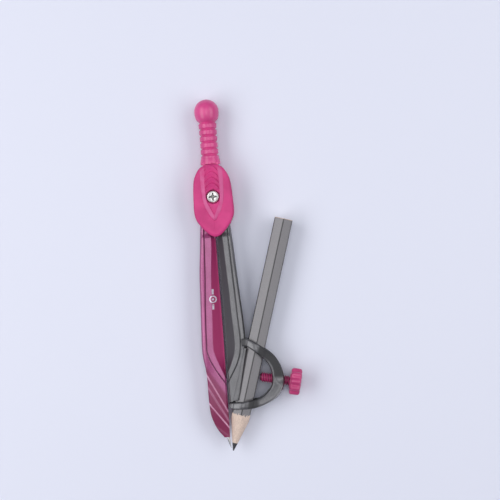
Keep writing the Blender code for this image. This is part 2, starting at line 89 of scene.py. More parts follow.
CLAMP_START = (Vector(JOINTS["clamp_turn"]["pos_m"]) - CENTRE) / MM
FRONT = Vector((0, 0, 1))
HEAD_AXIS = Vector((0, 0, 0))
BADGE_PLACE = Vector((-3.25, -40.6, 0))
BADGE_TILT = math.radians(2.5)
BADGE_RING = 1.25

LOOP_MIDDLE = Vector((10.0, -72.0, 0))
COVER_BACK = 3.6
SCREW_RECESS_RADIUS = 2.8
SCREW_RECESS_FLOOR = 4.2
HOLE_RADIUS = 1.62
PENCIL_FLATS = 7.2
PENCIL_LENGTH = 95.0
POINT_SLOPE = 0.265
POINT_BLUNT = 0.25
LEAD_RADIUS = 1.1
LOOP_BORE_FLATS = 8.0
CLAMP_HOLE_RADIUS = 2.12
LEG_HALF_THICKNESS = 3.3
ROOT_HALF_THICKNESS = 2.6
GEAR_TEETH = 12
GEAR_TIP_RADIUS = 5.0
GEAR_ROOT_RADIUS = 3.6


# ---------------------------------------------------------------- shader maths


class Wire:
    """One output of a material's nodes, which Python's operators do sums on."""

    def __init__(self, paint, socket):
        self.paint = paint
        self.socket = socket

    def math(self, operation, first, second=None):
        values = {0: first} if second is None else {0: first, 1: second}
        return self.paint.node("ShaderNodeMath", {"operation": operation}, values)

    def __add__(self, other):
        return self.math("ADD", self, other)

    def __radd__(self, other):
        return self.math("ADD", other, self)

    def __sub__(self, other):
        return self.math("SUBTRACT", self, other)

    def __rsub__(self, other):
        return self.math("SUBTRACT", other, self)

    def __mul__(self, other):
        return self.math("MULTIPLY", self, other)

    def __rmul__(self, other):
        return self.math("MULTIPLY", other, self)

    def __truediv__(self, other):
        return self.math("DIVIDE", self, other)

    def __abs__(self):
        return self.math("ABSOLUTE", self)

    def root(self):
        return self.math("SQRT", self)

    def most(self, other):
        return self.math("MAXIMUM", self, other)

    def rise(self, start, end, low=0.0, high=1.0):
        """Goes smoothly from low to high as the value goes from start to end."""
        return self.paint.node(
            "ShaderNodeMapRange", {"interpolation_type": "SMOOTHSTEP"},
            {0: self, 1: start, 2: end, 3: low, 4: high},
        )


class Paint:
    """A Principled material under construction."""

    def __init__(self, name):
        self.material = bpy.data.materials.new(name)
        self.material.use_nodes = True
        self.tree = self.material.node_tree
        self.shader = self.tree.nodes["Principled BSDF"]

    def fill(self, socket, value):
        """Gives a socket a value or a link."""
        if isinstance(value, Wire):
            self.tree.links.new(value.socket, socket)
        elif socket.type == "RGBA" and len(value) == 3:
            socket.default_value = (*value, 1)
        else:
            socket.default_value = value

    def node(self, kind, settings=None, values=None, output=0):
        """Makes a node of any type: its settings first, then its sockets' values or links."""
        node = self.tree.nodes.new(kind)
        for name, value in (settings or {}).items():
            setattr(node, name, value)
        for key, value in (values or {}).items():
            self.fill(node.inputs[key], value)
        return Wire(self, node.outputs[output])

    def place(self):
        """Object coordinates."""
        return self.node("ShaderNodeTexCoord", output="Object")

    def split(self, vector):
        """The three parts of a vector."""
        node = self.node("ShaderNodeSeparateXYZ", values={0: vector}).socket.node
        return [Wire(self, output) for output in node.outputs]

    def local(self, origin, angle):
        """Object coordinates in millimetres from a point, turned in the plane of the compass."""
        where = Matrix.Rotation(angle, 3, "Z") @ -(CENTRE / MM + origin)
        return self.node(
            "ShaderNodeMapping", values={
                "Vector": self.place(), "Location": where, "Rotation": (0, 0, angle),
                "Scale": (1 / MM, 1 / MM, 1 / MM),
            },
        )

    def noise(self, scale, detail=2.0, roughness=0.5, vector=None):
        """Cloudy noise with so many patches to a metre."""
        return self.node("ShaderNodeTexNoise", values={
            "Vector": vector or self.place(), "Scale": scale, "Detail": detail, "Roughness": roughness,
        })

    def streaks(self, vector, scale, detail, roughness=0.5):
        """Noise drawn out by its own scale along each axis."""
        drawn_out = self.node("ShaderNodeMapping", values={"Vector": vector, "Scale": scale})
        return self.noise(1.0, detail, roughness, drawn_out)

    def curve(self, value, line, start, end, count=24):
        """Reads one of the shape's own lines at a value, both in millimetres."""
        shift, span = 20.0, 40.0
        ramp = self.node("ShaderNodeValToRGB", values={0: (value - start) / (end - start)})
        stops = ramp.socket.node.color_ramp.elements
        stops.remove(stops[1])
        for step in range(count + 1):
            level = (line(blend(start, end, step / count)) + shift) / span
            stop = stops.new(step / count) if step else stops[0]
            stop.position = step / count
            stop.color = (level, level, level, 1)
        return ramp * span - shift

    def mix(self, factor, first, second):
        """Two colours, mixed."""
        return self.node(
            "ShaderNodeMix", {"data_type": "RGBA"}, {0: factor, 6: first, 7: second}, output=2
        )

    def bump(self, height, strength, depth):
        """A normal from a height, whose full range is depth in metres."""
        return self.node("ShaderNodeBump", values={
            "Height": height, "Strength": strength, "Distance": depth,
        })

    def finish(self, **values):
        """Sets the Principled shader's sockets and gives the material."""
        for name, value in values.items():
            self.fill(self.shader.inputs[name.replace("_", " ")], value)
        return self.material


# ---------------------------------------------------------------- materials


def darker(color, share):
    """The same colour with a share of its light."""
    return tuple(part * share for part in color)


def moulded_plastic(name, color, gloss, shine, painted_light=None):
    """Coloured plastic from a mould: a fine orange peel, faint flow marks and a handled sheen.

    The last argument, if given, takes the paint and its tone, and gives the tone with painted light on it:
    a painted highlight or painted shade.
    """
    paint = Paint(name)
    flow_marks = paint.noise(90, 3, 0.6)
    peel = paint.noise(1800, 2, 0.5)
    smudges = paint.noise(260, 4, 0.65)
    deep = darker(color, 0.86)
    pale = tuple(min(1, part * 1.08 + 0.008) for part in color)
    tone = paint.mix(flow_marks.rise(0.3, 0.7), deep, pale)
    # Painted highlight or painted shade, where the caller gives it.
    if painted_light:
        tone = painted_light(paint, tone)
    return paint.finish(
        Base_Color=tone,
        Roughness=smudges.rise(0.35, 0.7, gloss, gloss + 0.12),
        Specular_IOR_Level=shine,
        Coat_Weight=shine * 0.45,
        Coat_Roughness=0.2,
        Normal=paint.bump(peel, 0.25, 0.00004),
    )


def tongue_rim_highlight(paint, tone):
    """The front cover's plastic, with a painted highlight on the rim of its raised tongue."""
    x, y, z = paint.split(paint.local(HEAD_AXIS, 0))
    side = abs(x)
    outer = paint.curve(y, TONGUE_OUTER, TONGUE_TIP, HEAD_TOP)
    inner = paint.curve(y, TONGUE_INNER, PANEL_TIP, HEAD_TOP)
    rim = (outer - side).rise(-0.05, 0.3) * (side - inner).rise(-0.1, 0.25) * y.rise(TONGUE_TIP, -9.2)
    patchy = paint.noise(240, 3, 0.6).rise(0.2, 0.55)
    # Painted highlight: the tongue's rim on the front face, patchy, is mixed towards a paler pink.
    painted_highlight = rim * z.rise(4.0, 4.6) * y.rise(13.0, 10.0) * patchy * 0.62
    return paint.mix(painted_highlight, tone, (0.66, 0.15, 0.35))


def loop_shade(paint):
    """Where shade is painted on the clamp's loop: its right arm and the two shoulders of its bridges."""
    x, y, z = paint.split(paint.local(LOOP_MIDDLE, 0))
    radius = (x * x + y * y).root()
    turn = paint.node("ShaderNodeMath", {"operation": "ARCTAN2"}, {0: y, 1: x}) * (180 / math.pi)
    upper = turn.rise(-14, -4) * turn.rise(76, 70)
    lower = turn.rise(-106, -100) * turn.rise(-76, -86)
    hook = turn.rise(93, 99) * (1 - turn.rise(110, 140)) * abs(z).rise(3.2, 3.7)
    face = radius.rise(8.4, 8.8) * radius.rise(17.5, 16.5)
    return upper.most(lower).most(hook * 0.8) * face


def loop_detail(paint, color, deep, out, down, crest_out):
    """The grey leg's lacquer with painted shade on the darker parts of the clamp's loop, and where it is
    dull.
    """
    shade = loop_shade(paint)
    # Painted shade: the loop's right arm and bridge shoulders are mixed towards a near-black grey.
    return paint.mix(shade * 0.85, color, darker(deep, 0.3)), shade


def feather_detail(paint, color, deep, out, down, crest_out):
    """The magenta leg's lacquer with painted highlights along the feather ridges, on a dull ground of
    painted shade, and the printed mark.
    """
    past = [
        (down + out * slope - (start + slope * FEATHER_START)) / math.hypot(1, slope)
        for start, slope, _ in FEATHERS
    ]
    ridge = None
    for distance, (_, _, tall) in zip(past[1:], FEATHERS[1:]):
        line = abs(distance).rise(blend(0.9, 0.42, tall), 0.1) * tall**2
        ridge = line if ridge is None else ridge.most(line)
    ridge = ridge * down.rise(68, 70)
    # Painted shade over the feathers past the first ridge, growing darker towards the leg's end.
    ground = past[0].rise(0.8, 2.0) * (1 - ridge)
    low = down.rise(72, 92)
    color = paint.mix(ground * blend(0.7, 0.95, low), color, (0.19, 0.008, 0.06))
    # Painted highlight along each feather ridge.
    color = paint.mix(ridge * 0.8, color, (0.95, 0.5, 0.7))
    return badge(paint, color), ground * blend(0.6, 0.9, low)


def leg_lacquer(name, deep, bright, valley_shade, gloss, lines, side, end, detail):
    """Sprayed lacquer: fine metal flakes in a tinted coat, with painted shade on the inner slopes and in
    the grooves.
    """
    paint = Paint(name)
    x, y, _ = paint.split(paint.local(HEAD_AXIS, 0))
    out, down = x * side, y * -1
    crest_in = paint.curve(down, lines.crest_in, 12, end)
    crest_out = paint.curve(down, lines.crest_out, 12, end)
    valley = (crest_in - out).rise(0.0, 0.22) * (down.rise(15, 17))
    groove = abs(crest_out - out).rise(0.32, 0.12)
    flakes = paint.node(
        "ShaderNodeTexVoronoi", {"feature": "F1"}, {"Vector": paint.place(), "Scale": 5200.0},
        output="Color",
    )
    glint = paint.split(flakes)[0]
    clouds = paint.noise(150, 3, 0.55)
    hairlines = paint.streaks(paint.place(), (2600.0, 70.0, 2600.0), 3.0)
    tint = (glint * 0.35 + clouds * 0.65).rise(0.2, 0.8)
    color = paint.mix(tint, deep, bright)
    # Painted shade on the inner slope, where the two legs face each other.
    color = paint.mix(valley, color, valley_shade)
    # Painted shade in the groove beside the crest.
    color = paint.mix(groove * 0.6, color, darker(deep, 0.12))
    # The detail adds its own painted light, and gives where its painted shade lies.
    color, painted_light = detail(paint, color, deep, out, down, crest_out)
    dull = valley.most(painted_light)
    return paint.finish(
        Base_Color=color,
        Metallic=(1 - dull) * 0.45,
        Roughness=(glint * 0.10 + hairlines * 0.12) + dull * 0.3 + gloss,
        Coat_Weight=(1 - dull) * 0.8,
        Coat_Roughness=0.24,
        Coat_IOR=1.6,
        Normal=paint.bump(glint, 0.22, 0.00003),
    )


def clamp_plastic(settings):
    """Moulded plastic like the head's, with painted shade in the roots of the thread."""

    def shaded_roots(paint, tone):
        turned = -math.atan2(CLAMP_AXIS.y, CLAMP_AXIS.x)
        along, y, z = paint.split(paint.local(CLAMP_START, turned))
        crest, valley = settings.thread_radius - 0.1, settings.thread_radius - 0.42
        root = (y * y + z * z).root().rise(crest, valley) * along.rise(20, 18)
        # Painted shade: the thread's roots are mixed towards near-black.
        return paint.mix(root * 0.75, tone, (0.05, 0.004, 0.015))

    return moulded_plastic("clamp_plastic", settings.plastic, 0.28, 0.5, shaded_roots)


def badge(paint, ground):
    """A small white mark printed on the needle leg: a ring, a dot at its middle and two bars."""
    x, y, z = paint.split(paint.local(BADGE_PLACE, BADGE_TILT))
    reach = (x * x + y * y).root()
    circle = abs(reach - BADGE_RING).rise(0.3, 0.2)
    dot = reach.rise(0.5, 0.4)
    bars = abs(x).rise(0.44, 0.34) * abs(abs(y) - 3.0).rise(1.1, 1.0)
    front = z.rise(0.5, 1.0)
    wear = paint.noise(1500, 3, 0.6).rise(0.25, 0.45)
    return paint.mix(circle.most(dot).most(bars) * front * wear, ground, (0.62, 0.56, 0.66))


def plated_steel(name, color, gloss, brushed):
    """Bright plated or ground steel with fine drawn lines, and painted shade in the cross recess."""
    paint = Paint(name)
    x, y, z = paint.split(paint.local(HEAD_AXIS, 0))
    crown = sizes("hinge_screw")[1].z
    recess_shade = (crown - z).rise(0.42, 0.62) * (x * x + y * y).root().rise(1.75, 1.6) * z.rise(4.4, 4.6)
    lines = paint.noise(brushed, 4, 0.7)
    tarnish = paint.noise(420, 3, 0.6)
    # Painted shade: the cross recess is mixed towards near-black.
    return paint.finish(
        Base_Color=paint.mix(
            recess_shade * 0.85, paint.mix(tarnish.rise(0.3, 0.75), color, darker(color, 0.8)),
            (0.05, 0.05, 0.05),
        ),
        Metallic=1.0,
        Roughness=lines.rise(0.3, 0.7, gloss, gloss + 0.16),
        Normal=paint.bump(lines, 0.15, 0.00003),
    )


def slippery_plastic():
    """Natural washer plastic, milky and a little mottled."""
    paint = Paint("washer_plastic")
    cloud = paint.noise(700, 3, 0.5)
    return paint.finish(
        Base_Color=paint.mix(cloud, (0.72, 0.71, 0.66), (0.82, 0.81, 0.77)),
        Roughness=cloud.rise(0.3, 0.7, 0.4, 0.55),
        Normal=paint.bump(cloud, 0.2, 0.00003),
    )


def pencil_finish(settings):
    """Silver lacquer with black edges on the flats, and bare grained wood on the cone."""
    paint = Paint("pencil_paint_and_wood")
    across, along, depth = paint.split(paint.local(PENCIL_TIP, PENCIL_ANGLE))
    radius = (across * across + depth * depth).root()
    corner = PENCIL_FLATS / math.sqrt(3)
    face = PENCIL_FLATS / 2
    half_side = corner / 2
    edge_start = math.hypot(face, half_side - settings.edge_width)
    edge = radius.rise(edge_start - 0.05, edge_start + 0.05)
    chips = paint.noise(1400, 3, 0.6)
    flecks = paint.noise(3600, 2, 0.5)
    silver = paint.mix(flecks.rise(0.3, 0.7), darker(settings.lacquer, 0.86), settings.lacquer)
    lacquer = paint.mix(edge, silver, settings.edges)
    scallop = abs(abs(across) - 1.8) * -0.3 + (chips - 0.5) * 3.5
    bare = (along + scallop).rise(14.75, 14.6)
    cut_end = along.rise(PENCIL_LENGTH - 0.25, PENCIL_LENGTH - 0.15)
    grain = paint.streaks(paint.local(PENCIL_TIP, PENCIL_ANGLE), (5.0, 0.35, 5.0), 5.0, 0.65)
    knife = paint.streaks(paint.local(PENCIL_TIP, PENCIL_ANGLE), (0.6, 7.0, 0.6), 2.0)
    wood = paint.mix(grain.rise(0.35, 0.65), settings.wood, darker(settings.wood, 0.72))
    bare = bare.most(cut_end)
    height = grain * 0.6 + knife * 0.4
    return paint.finish(
        Base_Color=paint.mix(bare, lacquer, wood),
        Metallic=(1 - bare) * (1 - edge) * 0.35,
        Roughness=bare.rise(0, 1, 0.32, 0.7) + flecks * 0.06,
        Coat_Weight=(1 - bare) * 0.5,
        Coat_Roughness=0.12,
        Normal=paint.bump(height * bare + chips * 0.1, 0.35, 0.00012),
    )


def graphite():
    """Sharpened graphite: dark, with a metallic sheen and fine turning marks."""
    paint = Paint("graphite")
    marks = paint.noise(2600, 4, 0.7)
    return paint.finish(
        Base_Color=paint.mix(marks, (0.022, 0.022, 0.027), (0.06, 0.06, 0.07)),
        Specular_IOR_Level=0.35,
        Roughness=marks.rise(0.3, 0.7, 0.36, 0.55),
        Normal=paint.bump(marks, 0.3, 0.00005),
    )


# ---------------------------------------------------------------- shape helpers


def smooth(value):
    """A soft step from 0 to 1."""
    value = min(1.0, max(0.0, value))
    return value * value * (3 - 2 * value)


def blend(first, second, share):
    """A share of the way from the first value to the second."""
    return first + (second - first) * share


def flow(points, steps=8):
    """A smooth line through the points."""
    spread = [points[0], *points, points[-1]]
    line = []
    for before, start, end, after in zip(spread, spread[1:], spread[2:], spread[3:]):
        for step in range(steps):
            t = step / steps
            line.append(tuple(
                0.5 * (2 * b + (c - a) * t + (2 * a - 5 * b + 4 * c - d) * t**2
                       + (3 * b - a - 3 * c + d) * t**3)
                for a, b, c, d in zip(before, start, end, after)
            ))
    return [*line, tuple(points[-1])]


class Line:
    """A smooth value along a run of stations, such as a leg's edge along its length."""

    def __init__(self, *points):
        self.where, self.value = zip(*flow(sorted(points)))

    def __call__(self, where):
        return float(np.interp(where, self.where, self.value))


class Path:
    """A smooth path in the plane, read by the share of its length."""

    def __init__(self, points):
        self.points = np.array(flow(points))
        steps = np.hypot(*np.diff(self.points, axis=0).T)
        self.share = np.concatenate([[0], np.cumsum(steps)]) / steps.sum()

    def __call__(self, share):
        return tuple(float(np.interp(share, self.share, part)) for part in self.points.T)


def lathe(profile, segments, closed=False):
    """Turns a profile of (radius, height) about Z."""
    shape = bmesh.new()
    verts = [shape.verts.new((radius, 0, height)) for radius, height in profile]
    edges = [shape.edges.new(pair) for pair in zip(verts, verts[1:])]
    if closed:
        edges.append(shape.edges.new((verts[-1], verts[0])))
    bmesh.ops.spin(
        shape, geom=[*verts, *edges], cent=(0, 0, 0), axis=(0, 0, 1),
        angle=math.tau, steps=segments, use_merge=True,
    )
    bmesh.ops.remove_doubles(shape, verts=shape.verts, dist=1e-5)
    bmesh.ops.recalc_face_normals(shape, faces=shape.faces)
    return shape


def slab(columns, rows, surface):
    """A solid with a front surface and its mirror image behind.

    surface gives a point for a share across and a share along.
    """
    shape = bmesh.new()
    bmesh.ops.create_grid(shape, x_segments=columns, y_segments=rows, size=0.5)
    raised = bmesh.ops.extrude_face_region(shape, geom=shape.faces[:])
    behind = {item for item in raised["geom"] if isinstance(item, bmesh.types.BMVert)}
    for vert in shape.verts:
        x, y, z = surface(vert.co.x + 0.5, 0.5 - vert.co.y)
        vert.co = (x, y, -z if vert in behind else z)
    bmesh.ops.recalc_face_normals(shape, faces=shape.faces)
    return shape


def prism(outline, low, high, bevel=0.0):
    """A flat outline raised from one height to another, with a bevel on both rims."""
    shape = bmesh.new()
    face = shape.faces.new([shape.verts.new((x, y, low)) for x, y in outline])
    raised = bmesh.ops.extrude_face_region(shape, geom=[face])
    verts = [item for item in raised["geom"] if isinstance(item, bmesh.types.BMVert)]
    bmesh.ops.translate(shape, verts=verts, vec=(0, 0, high - low))
    bmesh.ops.recalc_face_normals(shape, faces=shape.faces)
    if bevel:
        rims = [edge for edge in shape.edges if abs(edge.verts[0].co.z - edge.verts[1].co.z) < 1e-6]
        bmesh.ops.bevel(
            shape, geom=rims, offset=bevel, affect="EDGES", segments=3, profile=0.5, material=-1
        )
    return shape


def laid(shape, place, way=None, turn=0.0):
    """Lays a shape made about Z along a direction, from a place."""
    if way is not None:
        rotation = FRONT.rotation_difference(way).to_matrix() @ Matrix.Rotation(turn, 3, "Z")
        bmesh.ops.rotate(shape, verts=shape.verts, matrix=rotation)
    bmesh.ops.translate(shape, verts=shape.verts, vec=place)
    return shape


def joined(first, *others):
    """Puts several closed shapes into one mesh."""
    for other in others:
        spare = bpy.data.meshes.new("spare")
        other.to_mesh(spare)
        other.free()
        first.from_mesh(spare)
        bpy.data.meshes.remove(spare)
    return first


def object_from(name, shape):
    """An object in metres, in the frame's place, from a shape in millimetres."""
    bmesh.ops.scale(shape, verts=shape.verts, vec=(MM, MM, MM))
    bmesh.ops.translate(shape, verts=shape.verts, vec=CENTRE)
    mesh = bpy.data.meshes.new(name)
    shape.to_mesh(mesh)
    shape.free()
    piece = bpy.data.objects.new(name, mesh)
    bpy.context.scene.collection.objects.link(piece)
    return piece


def finish_piece(name, shape, material, body, node, cutters=(), sharp=32):
    """Makes the piece that stands for a CAD node, with any holes cut."""
    piece = object_from(name, shape)
    for cutter in cutters:
        drill = object_from("drill", cutter)
        modifier = piece.modifiers.new("hole", "BOOLEAN")
        modifier.operation = "DIFFERENCE"
        modifier.object = drill
        graph = bpy.context.evaluated_depsgraph_get()
        cut = bpy.data.meshes.new_from_object(piece.evaluated_get(graph))
        piece.modifiers.clear()
        piece.data = cut
        piece.data.name = name
        bpy.data.objects.remove(drill)
    if not piece.data.polygons:
        raise RuntimeError(f"{name} has no faces")
    piece.data.shade_smooth()
    piece.data.set_sharp_from_angle(angle=math.radians(sharp))
    piece.data.materials.clear()
    piece.data.materials.append(material)
    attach(piece, body)
    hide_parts(node)
    return piece


# ---------------------------------------------------------------- head and handle


def grip_profile(settings):
    """The handle's turned outline: a foot, a ribbed neck and a ball."""
    foot = HEAD_TOP + 0.08
    profile = [(0, foot), (3.8, foot), (4.0, foot + 0.2), (3.95, foot + 1.0), (3.7, foot + 2.4)]
    neck_end = BALL_TOP - BALL_RADIUS * 1.88
    steps = 150
    for step in range(steps + 1):
        y = blend(foot + 2.6, neck_end, step / steps)
        radius = 3.62 - 0.12 * math.sin(math.pi * step / steps)
        rib = (y - settings.first_groove) / settings.groove_pitch
        near = abs(rib - round(rib)) * settings.groove_pitch
        if -0.3 < rib < settings.grooves - 0.7:
            radius -= settings.groove_depth * (1 - smooth(near / 0.62))
        profile.append((radius, y))
    ball = BALL_TOP - BALL_RADIUS
    start = -math.asin(0.8)
    for step in range(33):
        turn = blend(start, math.pi / 2, step / 32)
        radius = BALL_RADIUS * math.cos(turn)
        if turn < 0:
            radius = blend(radius, 3.72 + 1.18 * math.cos(turn / start * math.pi / 2) ** 0.6, 0.85)
        profile.append((radius, ball + BALL_RADIUS * math.sin(turn)))
    profile[-1] = (0, BALL_TOP)
    return profile


def tenon():
    """The handle's flat end between the covers."""
    radius = 3.2
    arc = [(radius * math.cos(a), radius * math.sin(a)) for a in np.linspace(math.pi, math.tau, 25)]
    return prism([*arc, (radius, HEAD_TOP + 1), (-radius, HEAD_TOP + 1)], -radius, radius, 0.2)


HEAD_HALF = flow([
    (0, 13.0), (2.2, 12.8), (4.2, 11.9), (5.8, 10.0), (7.1, 7.0), (7.6, 3.0), (7.8, -1.0),
    (7.9, -5.5), (7.3, -8.6), (5.4, -11.8), (3.0, -14.4), (1.3, -15.6), (0, -15.9),
], 6)


def head_radius(turn):
    """How far the head's outline lies from the screw's axis, at an angle from the handle."""
    turns = [math.atan2(abs(x), y) for x, y in HEAD_HALF]
    reach = [math.hypot(x, y) for x, y in HEAD_HALF]
    return float(np.interp(abs(math.remainder(turn, math.tau)), turns, reach))


# Half the width of the front cover's tongue, and of the panel inside it, at each height.
TONGUE_TIP = -9.6
PANEL_TIP = -7.6
TONGUE_OUTER = Line(
    (TONGUE_TIP, 0.0), (-8.6, 0.95), (-6.5, 2.3), (-3.5, 3.6), (0, 4.35), (5, 4.6), (10, 4.6), (13, 4.2),
)
TONGUE_INNER = Line(
    (PANEL_TIP, 0.0), (-6.4, 0.55), (-4, 1.6), (-1.5, 2.6), (3, 2.9), (9, 2.8), (13, 2.5),
)


def front_relief(x, y, settings):
    """The front cover's surface: a raised tongue with a V end, and arched steps inside it."""
    side = abs(x)
    outer, inner = TONGUE_OUTER(y), TONGUE_INNER(y)
    height = HEAD_FRONT - settings.shoulder_fall
    if side < outer:
        height += settings.shoulder_fall * min(1.0, (outer - side) / max(outer - inner, 0.3))
    height -= settings.seam_depth * (1 - smooth(abs(side - outer) / 0.3))
    if y > PANEL_TIP and side < inner:
        height -= settings.tongue_depth * smooth((inner - side) / 0.4)
    arch = y + 0.32 * side * side
    if y > 2.6 and side < inner and arch < HEAD_TOP - 0.6:
        step = ((arch - 3.4) / settings.step_pitch) % 1
        lip = step / 0.8 if step < 0.8 else (1 - step) / 0.2
        height += settings.step_height * lip * smooth((inner - side) / 0.4) * smooth((y - 2.6) / 0.5)
    return height


def cover_shape(settings, facing):
    """A cover as a turned loop that is stretched to the head's outline and given its relief."""
    rings = 56
    top = [(2 + step / rings, 0) for step in range(rings + 1)]
    profile = [
        (0, COVER_BACK), (0, SCREW_RECESS_FLOOR), (1, SCREW_RECESS_FLOOR), *top, (3, 1), (3, 2), (3, 3),
    ]
    shape = lathe(profile, 264, closed=True)
    for vert in shape.verts:
        turn = math.atan2(vert.co.x, vert.co.y)
        code, layer = math.hypot(vert.co.x, vert.co.y), vert.co.z
        reach = head_radius(turn)
        recess = SCREW_RECESS_RADIUS
        if facing < 0:
            recess = 3.05 / math.cos(math.remainder(turn, math.pi / 3))
        if code < 1.5:
            radius = {0: HOLE_RADIUS, 1: recess}[round(code)]
        else:
            radius = blend(recess, reach, min(1, code - 2))
        x, y = radius * math.sin(turn), radius * math.cos(turn)
        if code < 1.5:
            height = layer
        elif layer < 0.5:
            height = front_relief(x, y, settings) if facing > 0 else HEAD_FRONT
            edge = reach - radius
            height -= 0.5 * max(0.0, 1 - edge / settings.border) + 0.35 * (1 - smooth(edge / 0.25))
            rim = radius - recess
            height -= 0.22 * (1 - smooth(rim / 0.35))
        else:
            height = {1: COVER_BACK + 0.9, 2: COVER_BACK + 0.15, 3: COVER_BACK}[round(layer)]
            if round(layer) == 3:
                x, y = x * 0.985, y * 0.985
        vert.co = (x, y, height)
    bmesh.ops.recalc_face_normals(shape, faces=shape.faces)
    walls = []
    for side in (-1, 1):
        outer = [(x * side, y) for x, y in HEAD_HALF if 0.5 < y < 9.5]
        inner = [(x - side * 1.3, y) for x, y in reversed(outer)]
        walls.append(prism([*outer, *inner], 0.15, COVER_BACK + 0.5))
    whole = joined(shape, *walls)
    bmesh.ops.scale(whole, verts=whole.verts, vec=(1, 1, facing))
    bmesh.ops.recalc_face_normals(whole, faces=whole.faces)
    return whole


def screw_shape(settings):
    """The head screw: a domed head with a cross recess, on a plain shank."""
    low, high = sizes("hinge_screw")
    foot, end, crown = SCREW_RECESS_FLOOR + 0.2, low.z, high.z
    radius = (high.x - low.x) / 2
    rings = 40
    dome = []
    for step in range(rings, -1, -1):
        share = step / rings
        fall = 0.3 * share**2 + 0.5 * smooth((share - 0.86) / 0.14) ** 1.5
        dome.append((radius * share, crown - fall))
    profile = [
        (0, end), (1.2, end), (1.5, end + 0.3), (1.5, foot), (radius - 0.06, foot), (radius, foot + 0.08),
        *dome,
    ]
    shape = lathe(profile, 160)
    for vert in shape.verts:
        x, y, z = vert.co
        if z < foot + 0.5:
            continue
        deep = 0.0
        for along, across in ((abs(x), abs(y)), (abs(y), abs(x))):
            arm = smooth((settings.cross_length - along) / 0.25)
            width = settings.cross_width * (1 - 0.25 * along / settings.cross_length)
            deep = max(deep, arm * smooth((width - across) / 0.14))
        core = smooth((0.78 - math.hypot(x, y)) / 0.2)
        vert.co.z = z - settings.cross_depth * max(deep, core)
    return shape


def nut_shape():
    """The hexagon nut, with its corners turned off and a chamfered bore."""
    corner_low, corner_high = sizes("hinge_nut")
    low, high = corner_low.z, corner_high.z
    half = (corner_high.x - corner_low.x) / 2
    profile = [
        (HOLE_RADIUS, low + 0.25), (1.85, low), (2.7, low), (3.3, low + 0.35),
        (3.3, high - 0.35), (2.7, high), (1.85, high), (HOLE_RADIUS, high - 0.25),
    ]
    shape = lathe(profile, 120, closed=True)
    for vert in shape.verts:
        turn = math.atan2(vert.co.y, vert.co.x)
        reach = half / math.cos(math.remainder(turn, math.pi / 3))
        radius = math.hypot(vert.co.x, vert.co.y)
        if radius > 2.75:
            vert.co.xy = vert.co.xy * (min(reach, radius) / radius)
    return shape


# ---------------------------------------------------------------- legs


def gear_root(side, first_tooth):
    """A leg's root: the disc round its pivot with the teeth that link the two legs."""
    pitch = math.tau / GEAR_TEETH
    flank = (
        (GEAR_ROOT_RADIUS, 0.66), (GEAR_TIP_RADIUS, 0.3),
        (GEAR_TIP_RADIUS, -0.3), (GEAR_ROOT_RADIUS, -0.66),
    )
    disc_radius = 3.0
    outline = []
    for tooth in range(4):
        centre = math.pi - (first_tooth + tooth - 1) * pitch
        for radius, half_width in flank:
            turn = centre + half_width / radius
            outline.append((radius * math.cos(turn), radius * math.sin(turn)))
    last = math.atan2(outline[-1][1], outline[-1][0])
    for turn in np.linspace(last, -math.pi / 2, 17)[1:]:
        outline.append((disc_radius * math.cos(turn), disc_radius * math.sin(turn)))
    placed = [(side * (PIVOT.x + x), PIVOT.y + y) for x, y in outline]
    return prism(placed, -ROOT_HALF_THICKNESS, ROOT_HALF_THICKNESS)


class LegLines:
    """The lines that shape a leg, each a distance from the middle plane for a distance down."""

    def __init__(self, inner, crest_in, crest_out, outer):
        self.inner = inner
        self.crest_in = crest_in
        self.crest_out = crest_out
        self.outer = outer

    def across(self, share, down):
        """Where a column of the leg's surface lies, with columns on the crest's two edges."""
        stops = [0, 0.36, 0.62, 1]
        inner, outer = self.inner(down), self.outer(down)
        even = [blend(inner, outer, stop) for stop in stops]
        ridge = [inner, self.crest_in(down), self.crest_out(down), outer]
        ridge = [max(inner, place) for place in ridge]
        loose = smooth((down - 58) / 7)
        return float(np.interp(share, stops, [blend(a, b, loose) for a, b in zip(ridge, even)]))


NEEDLE_LEG = LegLines(
    Line((10, 0.35), (50, 0.35), (64, 0.45), (86, 0.7), (96, 0.9)),
    Line(
        (10, 2.0), (20, 2.3), (30, 3.2), (40, 3.8), (50, 4.3), (60, 4.8), (63, 4.3), (66, 3.2),
        (69, 1.9), (72, 0.7), (75, -0.8), (96, -11),
    ),
    Line(
        (10, 4.6), (20, 5.1), (30, 5.6), (40, 6.3), (50, 6.9), (60, 7.3), (62, 7.1), (65, 6.2),
        (67.5, 5.0), (70, 3.6), (72.5, 2.1), (75, 0.5), (96, -11),
    ),
    Line(
        (10, 5.85), (14, 6.3), (20, 6.8), (30, 7.8), (40, 8.3), (50, 8.8), (60, 9.2), (64, 9.0),
        (68, 8.4), (72, 8.1), (80, 8.1), (86, 7.75), (90, 6.65), (93, 5.25), (96, 3.0),
    ),
)


def pencil_flank(down):
    """Where the pencil's left flat lies, a distance down from the head screw."""
    x = PENCIL_TIP.x + (-down - PENCIL_TIP.y) * math.tan(PENCIL_ANGLE)
    return x - PENCIL_FLATS / 2 / math.cos(PENCIL_ANGLE)


